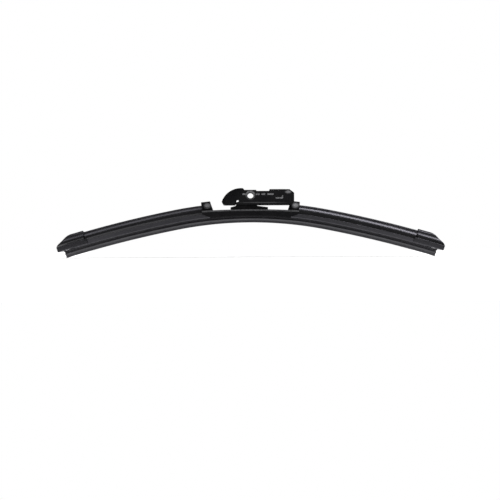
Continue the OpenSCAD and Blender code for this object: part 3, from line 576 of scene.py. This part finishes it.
def makeBladeGroup():
    # a swept section, less a rectangular room near both ends of the blade where Cut Room is on
    sizes = [
        ("Start", 0.0), ("End", 0.1), ("Step", 0.002), ("Room Start", 0.18), ("Room End", 0.19),
        ("Room Half Width", 0.006), ("Room Bottom", 0.005), ("Room Top", 0.009),
    ] + list(bowSizes.items())
    tree, source, sink = newGroup(
        "sweptBlade", "GeometryNodeTree",
        [("Geometry", "NodeSocketGeometry", None)]
        + [(label, "NodeSocketFloat", value) for label, value in sizes]
        + [("Cut Room", "NodeSocketBool", False), ("Material", "NodeSocketMaterial", None)],
        [("Geometry", "NodeSocketGeometry")],
    )
    value = source.outputs

    def sweep(section, start, end, step):
        links = {label: value[label] for label in bowSizes}
        links.update({"Section": section, "Start": start, "End": end, "Step": step})
        return addNode(tree, "GeometryNodeGroup", {"node_tree": sweepGroup}, links=links).outputs[0]

    section = addNode(tree, "GeometryNodeMeshToCurve", links={"Mesh": value["Geometry"]}).outputs[0]
    body = sweep(section, value["Start"], value["End"], value["Step"])
    middle = mathNode(tree, "MULTIPLY", mathNode(tree, "ADD", value["Room Bottom"], value["Room Top"]), 0.5)
    room = addNode(
        tree, "GeometryNodeCurvePrimitiveQuadrilateral", {"mode": "RECTANGLE"},
        links={
            "Width": mathNode(tree, "MULTIPLY", value["Room Half Width"], 2.0),
            "Height": mathNode(tree, "SUBTRACT", value["Room Top"], value["Room Bottom"]),
        },
    )
    shifted = addNode(
        tree, "GeometryNodeTransform",
        links={
            "Geometry": room.outputs[0],
            "Translation": addNode(
                tree, "ShaderNodeCombineXYZ", links={"Y": mathNode(tree, "MULTIPLY", middle, -1.0)}
            ).outputs[0],
        },
    ).outputs[0]
    cut = addNode(tree, "GeometryNodeMeshBoolean", {"operation": "DIFFERENCE", "solver": "EXACT"})
    tree.links.new(body, cut.inputs["Mesh 1"])
    backStart = mathNode(tree, "MULTIPLY", value["Room End"], -1.0)
    backEnd = mathNode(tree, "MULTIPLY", value["Room Start"], -1.0)
    for start, end in ((value["Room Start"], value["Room End"]), (backStart, backEnd)):
        tree.links.new(sweep(shifted, start, end, value["Step"]), cut.inputs["Mesh 2"])
    shape = addNode(
        tree, "GeometryNodeSwitch", {"input_type": "GEOMETRY"},
        links={"Switch": value["Cut Room"], "False": body, "True": cut.outputs["Mesh"]},
    ).outputs[0]
    real = addNode(tree, "GeometryNodeRealizeInstances", links={"Geometry": shape})
    painted = addNode(
        tree, "GeometryNodeSetMaterial", links={"Geometry": real.outputs[0], "Material": value["Material"]}
    )
    tree.links.new(painted.outputs[0], sink.inputs[0])
    return tree


bladeGroup = makeBladeGroup()


def roundCorners(points, radius, steps=4, straightAngle=160, sideShare=3):
    # each corner of a closed outline becomes a small arc, held to a third of its shorter side
    out = []
    count = len(points)
    for index, at in enumerate(points):
        at = Vector(at)
        back = Vector(points[index - 1]) - at
        ahead = Vector(points[(index + 1) % count]) - at
        angle = back.angle(ahead)
        if angle > math.radians(straightAngle):
            out.append(tuple(at))
            continue
        reach = min(radius / math.tan(angle / 2), back.length / sideShare, ahead.length / sideShare)
        size = reach * math.tan(angle / 2)
        centre = at + (back.normalized() + ahead.normalized()).normalized() * (size / math.sin(angle / 2))
        first = at + back.normalized() * reach - centre
        sweep = first.angle_signed(at + ahead.normalized() * reach - centre)
        for step in range(steps + 1):
            turned = Matrix.Rotation(-sweep * step / steps, 2) @ first
            out.append(tuple(centre + turned))
    return out


def weldMesh(mesh, distance=1e-6):
    # triangles that lie back to back on the same corners are a folded flap, and go
    bm = bmesh.new()
    bm.from_mesh(mesh)
    bmesh.ops.remove_doubles(bm, verts=bm.verts, dist=distance)
    bmesh.ops.dissolve_degenerate(bm, edges=bm.edges, dist=distance)
    bmesh.ops.triangulate(bm, faces=bm.faces, quad_method="SHORT_EDGE", ngon_method="BEAUTY")
    corners = {}
    for face in bm.faces:
        corners.setdefault(frozenset(face.verts), []).append(face)
    flaps = [face for faces in corners.values() if len(faces) > 1 for face in faces]
    bmesh.ops.delete(bm, geom=flaps, context="FACES")
    bmesh.ops.recalc_face_normals(bm, faces=bm.faces)
    bm.to_mesh(mesh)
    bm.free()


def sweepPiece(name, nodeName, section, sizes):
    # section in millimetres, its height above the lip edge; the sweep turns it upside down
    mesh = bpy.data.meshes.new(name)
    count = len(section)
    mesh.from_pydata(
        [(x / 1000, -z / 1000, 0) for x, z in section], [(i, (i + 1) % count) for i in range(count)], []
    )
    piece = bpy.data.objects.new(name, mesh)
    bpy.context.scene.collection.objects.link(piece)
    modifier = piece.modifiers.new("sweep", "NODES")
    modifier.node_group = bladeGroup
    items = bladeGroup.interface.items_tree
    identifiers = {item.name: item.identifier for item in items if item.in_out == "INPUT"}
    for label, value in {**bowSizes, **sizes, "Material": slotMaterials[nodeSlots[nodeName]]}.items():
        modifier[identifiers[label]] = value
    settleModifiers(piece)
    weldMesh(piece.data)
    finishPiece(piece, nodeName, bow["creaseAngle"])


def bothSides(side):
    return side + [(-x, z) for x, z in reversed(side)]


# rubber, its section in millimetres from the middle plane and above the lip edge
rubber = {
    "side": [
        (0.35, 0.0), (0.45, 2.2), (2.4, 3.8), (2.4, 4.4), (0.5, 4.6), (0.5, 6.2), (2.6, 6.4), (2.6, 7.7),
        (1.25, 7.7), (1.25, 8.8), (2.3, 8.8), (2.3, 9.7), (1.8, 10.2),
    ],
    "cornerRadius": 0.14,
    "sizes": {
        "Start": -0.1915, "End": 0.1915, "Step": 0.002, "Cut Room": True, "Room Start": 0.1848,
        "Room End": 0.1890, "Room Half Width": 0.0033, "Room Bottom": 0.0087, "Room Top": 0.0111,
    },
}
# spoilers, the same way, with the room inside for the rails and the rubber's head
spoiler = {
    "half": 6.8, "fin": 0.95, "bottom": 6.9, "flankTop": 11.0, "top": 20.5, "edgeRound": 0.4, "arcSteps": 12,
    "flankLean": 0.25,
    "room": [(2.9, 6.9), (2.9, 7.7), (5.25, 7.7), (5.25, 8.8), (2.5, 8.8), (2.5, 10.3), (0.9, 13.0)],
    "cornerRadius": 0.25, "innerStation": 0.0402, "outerStation": 0.179, "step": 0.002, "finSteps": 8,
}


def finnedSide(size):
    # one side of a spoiler's section, from its foot up the flank and the hollow to the round top of its fin
    run = size["half"] - size["edgeRound"] - size["fin"]
    rise = size["top"] - size["fin"] - size["flankTop"] - size["edgeRound"]
    radius = (run * run + rise * rise) / (2 * run)
    start = math.pi + math.atan2(rise, radius - run)
    foot = size["half"] - size["flankLean"]
    side = [(foot - size["edgeRound"], size["bottom"]), (foot, size["bottom"] + size["edgeRound"])]
    side.append((size["half"], size["flankTop"]))
    for step in range(size["arcSteps"] + 1):
        turn = start + (math.pi - start) * step / size["arcSteps"]
        across = size["fin"] + radius + radius * math.cos(turn)
        side.append((across, size["top"] - size["fin"] + radius * math.sin(turn)))
    for step in range(1, size["finSteps"]):
        turn = math.radians(step * 90 / size["finSteps"])
        side.append((size["fin"] * math.cos(turn), size["top"] - size["fin"] * (1 - math.sin(turn))))
    return side


rubberSection = roundCorners(bothSides(rubber["side"]), rubber["cornerRadius"])
sweepPiece("rubberStrip", "wiping_rubber", rubberSection, rubber["sizes"])
print("rubber made")

outline = bothSides(finnedSide(spoiler))
inside = bothSides([(-x, z) for x, z in spoiler["room"]])
spoilerSection = roundCorners(outline + inside, spoiler["cornerRadius"])
for end, side in (("Left", -1), ("Right", 1)):
    stations = sorted((side * spoiler["innerStation"], side * spoiler["outerStation"]))
    sweepPiece(
        "spoiler" + end, "spoiler_" + end.lower(), spoilerSection,
        {"Start": stations[0], "End": stations[1], "Step": spoiler["step"]},
    )
print("spoilers made")


# merged and bevelled copies of the moulded and pressed pieces
def mergedCopy(name, nodeName, bevel):
    source = nodes[nodeName]
    mesh = source.data.copy()
    mesh.name = name
    mesh.transform(source.matrix_world)
    bm = bmesh.new()
    bm.from_mesh(mesh)
    bmesh.ops.remove_doubles(bm, verts=bm.verts, dist=bevel["mergeDistance"])
    bmesh.ops.dissolve_limit(
        bm, angle_limit=math.radians(bevel["flatAngle"]), verts=bm.verts, edges=bm.edges, delimit={"NORMAL"}
    )
    bmesh.ops.dissolve_degenerate(bm, edges=bm.edges, dist=bevel["shortEdge"])
    bm.to_mesh(mesh)
    bm.free()
    piece = bpy.data.objects.new(name, mesh)
    bpy.context.scene.collection.objects.link(piece)
    rounding = piece.modifiers.new("edges", "BEVEL")
    rounding.width = bevel["width"]
    rounding.segments = bevel["segments"]
    rounding.limit_method = "ANGLE"
    rounding.angle_limit = math.radians(bevel["sharpAngle"])
    rounding.use_clamp_overlap = False
    settleModifiers(piece)
    weldMesh(piece.data)
    finishPiece(piece, nodeName, bevel["creaseAngle"])


bevelBase = {
    "width": 0.00025, "segments": 2, "sharpAngle": 32, "flatAngle": 0.3, "creaseAngle": 40,
    "mergeDistance": 0.000002, "shortEdge": 0.00002,
}
copies = {
    "endCapLeft": ("end_cap_left", {}),
    "endCapRight": ("end_cap_right", {}),
    "centreCover": ("centre_cover", {"width": 0.0002, "shortEdge": 0.00004}),
    "pivotBase": ("pivot_base", {}),
    "baseBracket": ("base_bracket", {"width": 0.00015}),
    "armAdaptor": ("arm_adaptor", {"width": 0.00018}),
}
for name, (nodeName, changes) in copies.items():
    mergedCopy(name, nodeName, {**bevelBase, **changes})
    print(name, "made")

# studio, in metres and watts; the key shines from the upper right
studio = {
    "worldStrength": 0.07, "shownStrength": 1.0, "aim": (0, 0, -0.03),
    "key": {"at": (0.55, -0.85, 0.74), "size": (1.0, 0.3), "power": 13},
    "fill": {"at": (-0.5, -0.88, 0.57), "size": (1.0, 0.3), "power": 3.2},
    "front": {"at": (0.1, -1.3, 0.1), "size": (1.2, 0.3), "power": 0.12},
    "back": {"at": (-0.6, 0.5, 0.9), "size": (0.8, 0.8), "power": 2},
}

# floor: the camera sees a soft shadow fade into white, and a small bright table lights the part from below
floorLook = {
    "half": 6, "drop": 0.0002, "color": (0.85, 0.85, 0.85), "roughness": 0.9, "specular": 0.0,
    "tint": (1, 1, 1), "metallic": 0.0, "spread": (0.4, 1.0, 0.0), "glowFromTo": (0.03, 0.35),
    "glow": (0.4, 1.2), "tableFromTo": (0.05, 0.25), "table": (1.7, 0.0),
}


def makeLamp(name, lamp, aim):
    data = bpy.data.lights.new(name, "AREA")
    data.shape = "RECTANGLE"
    data.size, data.size_y = lamp["size"]
    data.energy = lamp["power"]
    item = bpy.data.objects.new(name, data)
    item.location = lamp["at"]
    item.rotation_euler = (Vector(aim) - Vector(lamp["at"])).to_track_quat("-Z", "Y").to_euler()
    bpy.context.scene.collection.objects.link(item)


def makeWorld():
    world = bpy.data.worlds.new("studioWorld")
    bpy.context.scene.world = world
    world.use_nodes = True
    tree = world.node_tree
    background = tree.nodes["Background"]
    background.inputs["Color"].default_value = (1, 1, 1, 1)
    path = addNode(tree, "ShaderNodeLightPath")
    seen = mathNode(tree, "MAXIMUM", path.outputs["Is Camera Ray"], path.outputs["Is Transmission Ray"])
    strength = mapRange(tree, seen, 0, 1, studio["worldStrength"], studio["shownStrength"])
    tree.links.new(strength, background.inputs["Strength"])


def makeFloor():
    low = cadBox[0].z - floorLook["drop"]
    half = floorLook["half"]
    mesh = bpy.data.meshes.new("studioFloor")
    mesh.from_pydata(
        [(-half, -half, low), (half, -half, low), (half, half, low), (-half, half, low)], [], [(0, 1, 2, 3)]
    )
    floor = bpy.data.objects.new("studioFloor", mesh)
    bpy.context.scene.collection.objects.link(floor)
    material, tree, shader = startMaterial("studioFloor", floorLook)
    shader.inputs["Base Color"].default_value = (*floorLook["color"], 1)
    shader.inputs["Roughness"].default_value = floorLook["roughness"]
    place = addNode(tree, "ShaderNodeTexCoord").outputs["Object"]
    flattened = addNode(
        tree, "ShaderNodeVectorMath", {"operation": "MULTIPLY"}, {1: floorLook["spread"]}, {0: place}
    ).outputs["Vector"]
    apart = vectorNode(tree, "LENGTH", flattened).outputs["Value"]
    glow = mapRange(tree, apart, *floorLook["glowFromTo"], *floorLook["glow"], True)
    table = mapRange(tree, apart, *floorLook["tableFromTo"], *floorLook["table"], True)
    camera = addNode(tree, "ShaderNodeLightPath").outputs["Is Camera Ray"]
    shader.inputs["Emission Color"].default_value = (1, 1, 1, 1)
    tree.links.new(mapRange(tree, camera, 0, 1, table, glow), shader.inputs["Emission Strength"])
    mesh.materials.append(material)


makeWorld()
makeFloor()
for name in ("key", "fill", "front", "back"):
    makeLamp(name + "Lamp", studio[name], studio["aim"])
print("studio made")

bpy.context.scene.view_settings.view_transform = "Standard"
